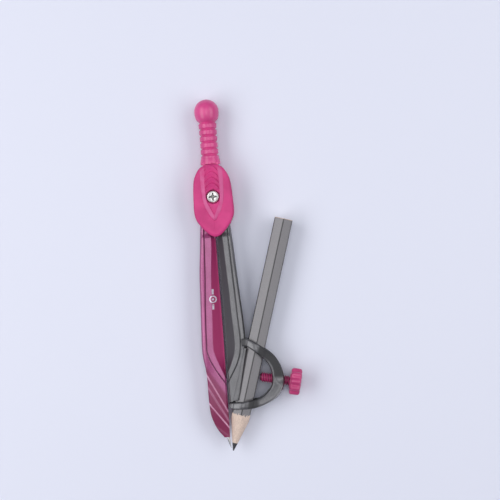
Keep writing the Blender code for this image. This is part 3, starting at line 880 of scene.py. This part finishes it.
PENCIL_LEG = LegLines(
    Line((10, 0.35), (50, 0.35), (64, 0.25), (82, 0.1)),
    Line(
        (10, 2.0), (20, 2.6), (30, 3.0), (40, 3.5), (50, 3.9), (56, 4.2), (60, 4.1), (63, 3.5),
        (66, 2.3), (69, 0.9), (72, -0.6), (82, -6),
    ),
    Line(
        (10, 4.4), (20, 4.8), (30, 5.2), (40, 5.6), (50, 6.0), (56, 6.3), (60, 6.2), (63, 5.7),
        (66.5, 4.5), (69.5, 2.9), (72.5, 1.1), (74.5, -0.2), (82, -6),
    ),
    Line(
        (10, 5.75), (14, 6.1), (20, 6.5), (30, 7.0), (40, 7.6), (50, 8.2), (57, 8.35), (60, 8.2),
        *((down, pencil_flank(down) - 0.3) for down in (64, 68, 72, 76, 79, 82)),
    ),
)

# Each feather ridge: how far down it starts at the outer edge, how steeply it runs in, and
# how tall it stands against the others.
FEATHERS = (
    (64.6, 1.6, 0.9), (70.5, 2.03, 1.0), (75.3, 1.9, 0.6), (81.7, 1.42, 1.0), (89.5, 0.9, 0.3),
)
FEATHER_START = 8.2


def feather(out, down, settings):
    """The overlapping feathers of the needle leg's lower end."""
    height = 0.0
    lines = [start + slope * (FEATHER_START - out) for start, slope, _ in FEATHERS]
    for line, following, (_, _, tall) in zip(lines[1:], [*lines[2:], lines[-1] + 6], FEATHERS[1:]):
        if line <= down < following:
            share = (down - line) / (following - line)
            height = settings.feather_depth * (share**1.4 - 1) * 0.8
        bead = 1 - min(1.0, abs(down - line) / 0.75)
        height += settings.feather_depth * 0.75 * tall * smooth(bead)
    return height


def leg_height(lines, out, down, settings, feathered):
    """Half the leg's thickness at a point."""
    inner, outer = lines.inner(down), lines.outer(down)
    crest_in, crest_out = lines.crest_in(down), lines.crest_out(down)
    top = LEG_HALF_THICKNESS - 0.7 * smooth((16.5 - down) / 2.5)
    lip = settings.lip_height
    slope = max(crest_in - inner - settings.lip_width, 0.01)
    height = top
    if out < crest_in:
        height = blend(top, lip, min(1, (crest_in - out) / slope))
        height = max(height, lip - 0.35 * smooth((settings.lip_width * 0.35 - (out - inner)) / 0.15))
    elif out > crest_out:
        run = max(outer - crest_out, 0.01)
        if feathered:
            side = blend(0.5, 0.35, smooth((down - 62) / 12))
        else:
            side = blend(0.95, 0.06, smooth((down - 57) / 6))
        height = top - side * ((out - crest_out) / run) ** 1.4
        if feathered and down > 62:
            clear = smooth((out - crest_out) / 0.9)
            height += feather(out, down, settings) * clear * smooth((down - 62) / 4)
    groove = abs(out - crest_out)
    if crest_out > inner:
        height -= settings.groove_depth * (1 - smooth(groove / 0.34))
    edge = min(out - inner, outer - out)
    if crest_in < inner or out > crest_out:
        height -= 0.55 * (1 - smooth(edge / 0.6))
    if feathered:
        taper = smooth((down - 84) / 12)
        height = blend(height, height * 0.45, taper)
    return max(0.5, height)


def leg_shape(lines, side, end, settings, feathered, first_tooth):
    """A leg: its shaped shaft, and the gear root under the head's covers."""
    start = 10.6

    def surface(across, along):
        down = blend(start, end, along**0.8)
        out = lines.across(across, down)
        return side * out, -down, leg_height(lines, out, down, settings, feathered)

    return joined(slab(56, 330, surface), gear_root(side, first_tooth))


def seat_lip(facing):
    """The thin lip of the pencil leg that reaches over the pencil's flank, on one side."""
    start, end, rows = 61.0, 81.6, 24
    reach, rooted, bevel = 1.25, 0.9, 0.1
    under, over = 2.86, 3.37
    steps = [blend(start, end, step / rows) for step in range(rows + 1)]
    edge = [(pencil_flank(down) + reach * smooth((down - 60.5) / 22), -down) for down in steps]
    root = [(pencil_flank(down) - rooted, -down) for down in reversed(steps)]
    low, high = sorted((facing * under, facing * over))
    return prism([*edge, *root], low, high, bevel)


# ---------------------------------------------------------------- clamp


RING_OUTER = Path([
    (6.9, -57.1), (8.6, -57.1), (12.0, -58.9), (16.0, -61.9), (19.2, -64.9), (21.4, -68.8),
    (22.5, -73.2), (22.0, -77.4), (19.4, -81.2), (15.0, -83.7), (10.0, -85.1), (5.0, -85.2),
    (1.2, -84.9), (0.15, -84.2),
])
RING_INNER = Path([
    (6.9, -60.2), (8.9, -60.6), (11.4, -62.5), (14.6, -65.3), (17.2, -69.3), (17.9, -73.8),
    (16.9, -77.3), (14.4, -80.0), (11.0, -81.6), (6.0, -82.1), (0.6, -82.2), (0.1, -82.8),
])
# Half the loop's thickness, by the distance from the pencil's axis.
RING_ROOF = Line(
    (-16, 3.9), (-5.6, 4.0), (-3.4, 4.75), (-1.2, 5.5), (0, 5.65), (1.2, 5.5), (3.4, 4.75), (5.6, 4.1),
    (18, 3.9),
)


def ring_shape(settings):
    """The loop that draws the pencil to the leg, with a crowned face and a raised outer rim."""

    def surface(across, along):
        x0, y0 = RING_INNER(along)
        x1, y1 = RING_OUTER(along)
        x, y = blend(x0, x1, across), blend(y0, y1, across)
        right, up = x - PENCIL_TIP.x, y - PENCIL_TIP.y
        off_axis = right * math.cos(PENCIL_ANGLE) - up * math.sin(PENCIL_ANGLE)
        height = RING_ROOF(off_axis)
        height -= 0.45 * abs(2 * across - 1) ** 3
        height -= 0.55 * (1 - smooth(min(across, 1 - across) / 0.09))
        turn = math.degrees(math.atan2(y - LOOP_MIDDLE.y, x - LOOP_MIDDLE.x))
        fall = blend(-0.45, 1.0, smooth((turn + 24) / 14))
        outward = smooth((across - 0.15) / 0.75)
        height -= settings.ring_slope * fall * outward * smooth((off_axis - 2) / 4)
        bead = 1 - smooth(abs(across - 0.9) / 0.07)
        height += 0.22 * bead * smooth((off_axis - 1) / 3)
        return x, y, height

    return slab(30, 260, surface)


def along_pencil(shape):
    """Lays a shape made about Z along the pencil, with an edge of its hexagon to the front."""
    turn = Matrix((
        (math.cos(PENCIL_ANGLE), 0, PENCIL_AXIS.x),
        (-math.sin(PENCIL_ANGLE), 0, PENCIL_AXIS.y),
        (0, -1, 0),
    ))
    bmesh.ops.rotate(shape, verts=shape.verts, matrix=turn)
    bmesh.ops.translate(shape, verts=shape.verts, vec=PENCIL_TIP)
    return shape


def pencil_prism(across_flats, start, end):
    """A hexagonal bar along the pencil's axis."""
    radius = across_flats / math.sqrt(3)
    outline = [(radius * math.sin(a), radius * math.cos(a)) for a in np.arange(6) * math.tau / 6]
    shape = along_pencil(prism(outline, start, end))
    bmesh.ops.recalc_face_normals(shape, faces=shape.faces)
    return shape


def bar(radius, start, end, place, way=None, segments=64):
    """A round bar along a direction."""
    return laid(lathe([(0, start), (radius, start), (radius, end), (0, end)], segments), place, way)


def pin_hole(side):
    """The cutter for a leg's pivot hole."""
    return bar(PIN_RADIUS + 0.12, -5, 5, (side * PIVOT.x, PIVOT.y, 0))


def thread_shape(settings):
    """The clamp screw: a helical thread with a plain tapered nose."""
    start, end = 3.95, 18.6
    pitch = settings.thread_pitch
    outer = settings.thread_radius
    root = outer - 0.68 * pitch
    shape = bmesh.new()
    tooth = [
        (root, 0.0), (root, 0.12), (outer - 0.06, 0.42), (outer, 0.47),
        (outer, 0.58), (outer - 0.06, 0.63), (root, 0.93), (root, 1.0),
    ]
    nose = start + 0.35
    verts = [shape.verts.new((radius, 0, nose + along * pitch)) for radius, along in tooth]
    edges = [shape.edges.new(pair) for pair in zip(verts, verts[1:])]
    turns = int((end - nose) / pitch) - 1
    steps = 48
    bmesh.ops.spin(
        shape, geom=[*verts, *edges], cent=(0, 0, 0), axis=(0, 0, 1), dvec=(0, 0, pitch / steps),
        angle=math.tau * turns, steps=steps * turns, use_merge=False,
    )
    bmesh.ops.remove_doubles(shape, verts=shape.verts, dist=0.002)
    core = lathe([
        (0, start), (1.1, start), (1.3, start + 0.12), (root + 0.02, nose + 0.15),
        (root + 0.02, end), (0, end),
    ], 64)
    return laid(joined(shape, core), CLAMP_START, CLAMP_AXIS)


def knob_shape(settings):
    """The lobed knob, dished on its outer face, with a boss towards the loop."""
    inner, outer = 15.9, 20.4
    radius = 5.5
    low_edge, high_edge = 0.9, 1.1
    profile = [
        (2.15, inner + 0.15), (2.3, inner), (2.9, inner), (3.05, inner + 0.25),
        (radius - low_edge, inner + 0.3),
    ]
    for turn in np.linspace(0.15, math.pi / 2, 9):
        reach = radius - low_edge + low_edge * math.sin(turn)
        profile.append((reach, inner + 1.2 - low_edge * math.cos(turn)))
    for turn in np.linspace(0, math.pi / 2, 11):
        reach = radius - high_edge + high_edge * math.cos(turn)
        profile.append((reach, outer - high_edge + high_edge * math.sin(turn)))
    profile += [(3.6, outer), (3.3, outer - 0.1), (2.9, outer - 0.45), (1.2, outer - 0.5), (0, outer - 0.5)]
    profile += [(0, inner + 2.6), (2.15, inner + 2.5)]
    shape = lathe(profile, 240, closed=True)
    for vert in shape.verts:
        reach = math.hypot(vert.co.x, vert.co.y)
        turn = math.atan2(vert.co.y, vert.co.x)
        hollow = abs(math.cos(settings.lobes / 2 * turn)) ** 3
        share = smooth((reach - 3.7) / 1.6)
        vert.co.xy = vert.co.xy * (1 - settings.lobe_depth / radius * hollow * share)
    return laid(shape, CLAMP_START, CLAMP_AXIS)


# ---------------------------------------------------------------- pencil and needle


def pencil_shape():
    """The casing: a hexagon with eased edges, cut to a cone that leaves scallops in the paint."""
    corner = PENCIL_FLATS / math.sqrt(3)
    first = (LEAD_RADIUS - POINT_BLUNT) / POINT_SLOPE
    cone_rows = list(np.arange(first, 15.2, 0.12))
    rows = [*cone_rows, *np.linspace(15.4, PENCIL_LENGTH - 0.15, 40), PENCIL_LENGTH]
    profile = [(LEAD_RADIUS, first), *((1.5, row) for row in rows[1:]), (LEAD_RADIUS, PENCIL_LENGTH)]
    shape = lathe(profile, 216, closed=True)
    for vert in shape.verts:
        x, y, along = vert.co
        turn = math.atan2(x, y)
        if math.hypot(x, y) < 1.3:
            continue
        off = math.remainder(turn - math.pi / 6, math.pi / 3)
        eased = 0.07 * smooth(abs(off) / (math.pi / 6) * 6 - 5)
        hexagon = min(PENCIL_FLATS / 2 / math.cos(off), corner - eased)
        cone = POINT_BLUNT + POINT_SLOPE * along
        radius = min(hexagon, cone)
        if along > PENCIL_LENGTH - 0.05:
            radius -= 0.12
        vert.co.x, vert.co.y = radius * math.sin(turn), radius * math.cos(turn)
    return along_pencil(shape)


def lead_shape():
    """The lead, sharpened to a slightly blunt point."""
    shoulder = (LEAD_RADIUS - POINT_BLUNT) / POINT_SLOPE
    tip = [
        (POINT_BLUNT * math.sin(turn), POINT_BLUNT * (1 - math.cos(turn)) * 0.8)
        for turn in np.linspace(0, math.pi / 2, 8)
    ]
    radius, end = LEAD_RADIUS - 0.01, PENCIL_LENGTH - 0.05
    profile = [*tip, (radius, shoulder), (radius, end), (0, end)]
    return laid(lathe(profile, 64), PENCIL_TIP, PENCIL_AXIS)


def needle_shape():
    """The steel point: a shank with a long ground taper."""
    low, high = sizes("needle")
    tip = Vector((high.x, low.y, 0))
    top = Vector((low.x, high.y, 0))
    way = (top - tip).normalized()
    length = (top - tip).length
    profile = [
        (0, 0.02), (0.05, 0.04), (0.38, 2.1), (0.55, 3.6), (0.6, 4.8), (0.6, 6.0),
        (0.6, length - 0.4), (0, length - 0.4),
    ]
    return laid(lathe(profile, 48), tip, way)


# ---------------------------------------------------------------- settings


def colour(name, description, default):
    """A colour setting."""
    return FloatVectorProperty(
        name=name, description=description, default=default, size=3, subtype="COLOR", min=0, max=1
    )


def measure(name, description, default):
    """A setting that isn't negative."""
    return FloatProperty(name=name, description=description, default=default, min=0)


def number(name, description, default, least):
    """A whole number with a lower limit."""
    return IntProperty(name=name, description=description, default=default, min=least)


class CompassHeadSettings(bpy.types.PropertyGroup):
    plastic: colour("Plastic", "Colour of the head's covers", (0.60, 0.042, 0.205))
    handle: colour("Handle", "Colour of the handle", (0.68, 0.058, 0.25))
    grooves: number("Grooves", "Grooves round the handle's neck", 6, 1)
    first_groove: measure(
        "First groove", "Millimetres from the head screw to the first groove", 16.9
    )
    groove_pitch: measure("Groove pitch", "Millimetres between grooves", 2.58)
    groove_depth: measure("Groove depth", "Depth of each groove in millimetres", 0.5)
    border: measure("Border", "Width of the bevelled border in millimetres", 0.95)
    shoulder_fall: measure(
        "Shoulder fall", "How far the cover falls away beside its tongue, in millimetres", 0.55
    )
    tongue_depth: measure(
        "Tongue depth", "Depth of the panel inside the tongue, in millimetres", 0.3
    )
    seam_depth: measure("Seam depth", "Depth of the line round the tongue, in millimetres", 0.12)
    step_pitch: measure("Step pitch", "Millimetres between the arched steps", 2.3)
    step_height: measure("Step height", "Height of each arched step in millimetres", 0.6)
    cross_length: measure("Cross length", "Reach of the screw's cross recess in millimetres", 1.6)
    cross_width: measure(
        "Cross width", "Half the width of an arm of the cross in millimetres", 0.42
    )
    cross_depth: measure("Cross depth", "Depth of the cross recess in millimetres", 0.8)


class CompassLegSettings(bpy.types.PropertyGroup):
    magenta_deep: colour("Deep magenta", "Darker tone of the needle leg", (0.26, 0.03, 0.135))
    magenta_bright: colour("Bright magenta", "Lighter tone of the needle leg", (0.36, 0.055, 0.205))
    grey_deep: colour("Deep grey", "Darker tone of the pencil leg and the loop", (0.075, 0.074, 0.08))
    grey_bright: colour("Bright grey", "Lighter tone of the pencil leg and the loop", (0.13, 0.128, 0.14))
    # The two valley tones are painted shade for the legs' inner slopes.
    magenta_valley: colour("Magenta valley", "Tone of the needle leg's inner slope", (0.33, 0.015, 0.11))
    grey_valley: colour("Grey valley", "Tone of the pencil leg's inner slope", (0.058, 0.056, 0.066))
    lip_width: measure(
        "Lip width", "Width of the flat lip along each leg's inner edge, in millimetres", 0.45
    )
    lip_height: measure("Lip height", "Half the thickness at the lip, in millimetres", 1.0)
    groove_depth: measure(
        "Groove depth", "Depth of the line beside each crest, in millimetres", 0.3
    )
    feather_depth: measure("Feather depth", "Height of the feathers in millimetres", 0.38)


class CompassClampSettings(bpy.types.PropertyGroup):
    plastic: colour("Plastic", "Colour of the clamp's screw and knob", (0.5, 0.04, 0.17))
    ring_slope: measure(
        "Loop slope", "How far the loop's face falls to its outer rim, in millimetres", 0.9
    )
    thread_pitch: measure("Thread pitch", "Millimetres a turn", 0.7)
    thread_radius: measure("Thread radius", "Outer radius of the thread in millimetres", 2.0)
    lobes: number("Lobes", "Lobes round the knob", 10, 3)
    lobe_depth: measure("Lobe depth", "Depth of the hollows between lobes, in millimetres", 0.8)


class CompassPencilSettings(bpy.types.PropertyGroup):
    lacquer: colour("Lacquer", "Colour of the pencil's flats", (0.185, 0.177, 0.188))
    edges: colour("Edges", "Colour of the stripes along its edges", (0.018, 0.017, 0.02))
    wood: colour("Wood", "Colour of the bare wood", (0.80, 0.63, 0.53))
    edge_width: measure("Edge width", "How far a stripe reaches from its edge, in millimetres", 0.3)


class CompassStageSettings(bpy.types.PropertyGroup):
    floor: colour("Floor", "Colour of the floor", (0.74, 0.76, 0.87))
    view_width: measure("View width", "Width of the view in millimetres", 200.0)
    lens: measure("Lens", "Focal length in millimetres", 110.0)
    roll: FloatProperty(
        name="Roll", description="Turn of the view", default=math.radians(-4.57), subtype="ANGLE"
    )
    key: measure("Key light", "Power of the left softbox in watts", 3.2)
    fill: measure("Fill light", "Power of the right softbox in watts", 2.3)
    top: measure("Top light", "Power of the softbox overhead in watts", 1.9)


# ---------------------------------------------------------------- operators


class CompassHandle(bpy.types.Operator):
    """Turn the ribbed handle with its ball end"""

    bl_idname = "compass.handle"
    bl_label = "Handle"

    def execute(self, context):
        settings = context.scene.compass_head
        grip = laid(lathe(grip_profile(settings), 128), (0, 0, 0), Vector((0, 1, 0)))
        plastic = moulded_plastic("handle_plastic", settings.handle, 0.32, 0.55)
        finish_piece("handle_grip", joined(grip, tenon()), plastic, "head", "handle")
        return {"FINISHED"}


class CompassCovers(bpy.types.Operator):
    """Mould the front and rear covers of the head"""

    bl_idname = "compass.covers"
    bl_label = "Head covers"

    def execute(self, context):
        settings = context.scene.compass_head
        # The head's plastic carries a painted highlight on the rim of the tongue.
        plastic = moulded_plastic("head_plastic", settings.plastic, 0.4, 0.2, tongue_rim_highlight)
        for facing, name in ((1, "head_front_cover"), (-1, "head_rear_cover")):
            finish_piece(
                f"{name}_shell", cover_shape(settings, facing), plastic, "head", name,
                sharp=40,
            )
        return {"FINISHED"}


class CompassHeadScrew(bpy.types.Operator):
    """Make the head screw and its nut"""

    bl_idname = "compass.head_screw"
    bl_label = "Head screw and nut"

    def execute(self, context):
        settings = context.scene.compass_head
        steel = plated_steel("screw_steel", (0.74, 0.73, 0.71), 0.2, 1500)
        finish_piece("head_screw", screw_shape(settings), steel, "head", "hinge_screw")
        finish_piece("head_nut", nut_shape(), steel, "head", "hinge_nut")
        return {"FINISHED"}


class CompassPivots(bpy.types.Operator):
    """Finish the pivot pins and the friction washers inside the head"""

    bl_idname = "compass.pivots"
    bl_label = "Pins and washers"

    def execute(self, context):
        steel = bpy.data.objects["head_screw"].active_material
        finishes = {"pin": steel, "washer": slippery_plastic()}
        for name, node in frame["nodes"].items():
            kind = name.rsplit("_", 1)[-1]
            if kind in finishes:
                node.data.materials.clear()
                node.data.materials.append(finishes[kind])
        return {"FINISHED"}


class CompassNeedleLeg(bpy.types.Operator):
    """Shape the magenta leg and its needle"""

    bl_idname = "compass.needle_leg"
    bl_label = "Needle leg"

    def execute(self, context):
        settings = context.scene.compass_legs
        end = -sizes("needle_leg")[0].y
        lacquer = leg_lacquer(
            "magenta_metallic", settings.magenta_deep, settings.magenta_bright, settings.magenta_valley,
            0.24, NEEDLE_LEG, -1, end, feather_detail,
        )
        shape = leg_shape(NEEDLE_LEG, -1, end, settings, True, 0.5)
        finish_piece(
            "needle_leg_moulding", shape, lacquer, "needle_leg", "needle_leg",
            [pin_hole(-1)],
        )
        steel = plated_steel("needle_steel", (0.55, 0.55, 0.56), 0.16, 2400)
        finish_piece("needle_point", needle_shape(), steel, "needle_leg", "needle")
        return {"FINISHED"}


class CompassPencilLeg(bpy.types.Operator):
    """Shape the grey leg with its pencil seat"""

    bl_idname = "compass.pencil_leg"
    bl_label = "Pencil leg"

    def execute(self, context):
        settings = context.scene.compass_legs
        end = -sizes("pencil_leg")[0].y
        lacquer = leg_lacquer(
            "grey_metallic", settings.grey_deep, settings.grey_bright, settings.grey_valley, 0.25,
            PENCIL_LEG, 1, end, loop_detail,
        )
        shape = joined(leg_shape(PENCIL_LEG, 1, end, settings, False, 0), seat_lip(1), seat_lip(-1))
        finish_piece(
            "pencil_leg_moulding", shape, lacquer, "pencil_leg", "pencil_leg",
            [pin_hole(1)],
        )
        return {"FINISHED"}


class CompassClampRing(bpy.types.Operator):
    """Shape the loop round the pencil, with its bore and its screw hole"""

    bl_idname = "compass.clamp_ring"
    bl_label = "Clamp loop"

    def execute(self, context):
        settings = context.scene.compass_clamp
        cutters = [
            pencil_prism(LOOP_BORE_FLATS, 5, 70),
            bar(CLAMP_HOLE_RADIUS, 5, 18, CLAMP_START, CLAMP_AXIS),
            prism([(6, -56), (8.8, -56), (8.8, -61.5), (6, -61.5)], -3.2, 3.2),
        ]
        # The loop shares the grey leg's lacquer, with its painted shade on the loop's right arm and bridge
        # shoulders.
        lacquer = bpy.data.objects["pencil_leg_moulding"].active_material
        finish_piece(
            "clamp_loop", ring_shape(settings), lacquer, "pencil_leg", "clamp_ring",
            cutters,
        )
        return {"FINISHED"}


class CompassClampScrew(bpy.types.Operator):
    """Cut the clamp screw's thread and mould its knob"""

    bl_idname = "compass.clamp_screw"
    bl_label = "Clamp screw and knob"

    def execute(self, context):
        settings = context.scene.compass_clamp
        plastic = clamp_plastic(settings)
        for piece, shape, node in (
            ("clamp_thread", thread_shape, "clamp_screw"), ("clamp_grip", knob_shape, "clamp_knob"),
        ):
            finish_piece(piece, shape(settings), plastic, node, node)
        return {"FINISHED"}


class CompassPencil(bpy.types.Operator):
    """Make the sharpened pencil and its lead"""

    bl_idname = "compass.pencil"
    bl_label = "Pencil"

    def execute(self, context):
        settings = context.scene.compass_pencil
        finish_piece(
            "pencil_wood", pencil_shape(), pencil_finish(settings), "pencil", "pencil_casing",
        )
        finish_piece("pencil_core", lead_shape(), graphite(), "pencil", "pencil_lead")
        return {"FINISHED"}


def softbox(name, place, aim, size, power):
    """A soft rectangular light."""
    light = bpy.data.lights.new(name, "AREA")
    light.shape = "RECTANGLE"
    light.size, light.size_y = size
    light.energy = power
    lamp = bpy.data.objects.new(name, light)
    lamp.location = place
    lamp.rotation_euler = (Vector(place) - Vector(aim)).to_track_quat("Z", "Y").to_euler()
    bpy.context.scene.collection.objects.link(lamp)


class CompassStage(bpy.types.Operator):
    """Set the floor, the lights and the camera"""

    bl_idname = "compass.stage"
    bl_label = "Stage"

    def execute(self, context):
        settings = context.scene.compass_stage
        shape = bmesh.new()
        bmesh.ops.create_grid(shape, x_segments=2, y_segments=2, size=1.5)
        mesh = bpy.data.meshes.new("floor")
        shape.to_mesh(mesh)
        shape.free()
        floor = bpy.data.objects.new("floor", mesh)
        context.scene.collection.objects.link(floor)
        paint = Paint("floor")
        mesh.materials.append(paint.finish(Base_Color=tuple(settings.floor), Roughness=0.6))
        aim = CENTRE + Vector((0.013, -0.0222, 0))
        for name, place, size in (
            ("key", (-0.5, 0.05, 0.5), (0.9, 0.4)),
            ("fill", (0.5, 0.05, 0.5), (0.9, 0.4)),
            ("top", (0, 0.05, 0.95), (0.42, 0.7)),
        ):
            softbox(name, aim + Vector(place), aim, size, getattr(settings, name))
        world = bpy.data.worlds.new("studio")
        world.use_nodes = True
        air = world.node_tree.nodes["Background"].inputs
        air["Color"].default_value = (0.86, 0.88, 1.0, 1)
        air["Strength"].default_value = 0.26
        context.scene.world = world
        context.scene.view_settings.view_transform = "Standard"
        lens = bpy.data.cameras.new("camera")
        lens.lens = settings.lens
        lens.clip_start = 0.01
        camera = bpy.data.objects.new("camera", lens)
        distance = settings.view_width * MM * settings.lens / lens.sensor_width
        camera.location = aim + Vector((0, 0, distance))
        camera.rotation_euler = (0, 0, settings.roll)
        context.scene.collection.objects.link(camera)
        context.scene.camera = camera
        return {"FINISHED"}


PIECES = (
    CompassHandle, CompassCovers, CompassHeadScrew, CompassPivots, CompassNeedleLeg, CompassPencilLeg,
    CompassClampRing, CompassClampScrew, CompassPencil, CompassStage,
)
GROUPS = {
    "compass_head": CompassHeadSettings,
    "compass_legs": CompassLegSettings,
    "compass_clamp": CompassClampSettings,
    "compass_pencil": CompassPencilSettings,
    "compass_stage": CompassStageSettings,
}


class CompassPanel(bpy.types.Panel):
    """The compass's pieces and their settings"""

    bl_idname = "VIEW3D_PT_compass"
    bl_label = "Drawing compass"
    bl_space_type = "VIEW_3D"
    bl_region_type = "UI"
    bl_category = "Compass"

    def draw(self, context):
        for piece in PIECES:
            self.layout.operator(piece.bl_idname)
        for name, group in GROUPS.items():
            box = self.layout.box()
            for setting in group.__annotations__:
                box.prop(getattr(context.scene, name), setting)


def register():
    for item in (*GROUPS.values(), *PIECES, CompassPanel):
        bpy.utils.register_class(item)
    for name, group in GROUPS.items():
        setattr(bpy.types.Scene, name, PointerProperty(type=group))


def unregister():
    for name in GROUPS:
        delattr(bpy.types.Scene, name)
    for item in reversed((*GROUPS.values(), *PIECES, CompassPanel)):
        bpy.utils.unregister_class(item)


def main():
    register()
    for piece in PIECES:
        family, name = piece.bl_idname.split(".")
        getattr(getattr(bpy.ops, family), name)()


if __name__ == "__main__":
    main()
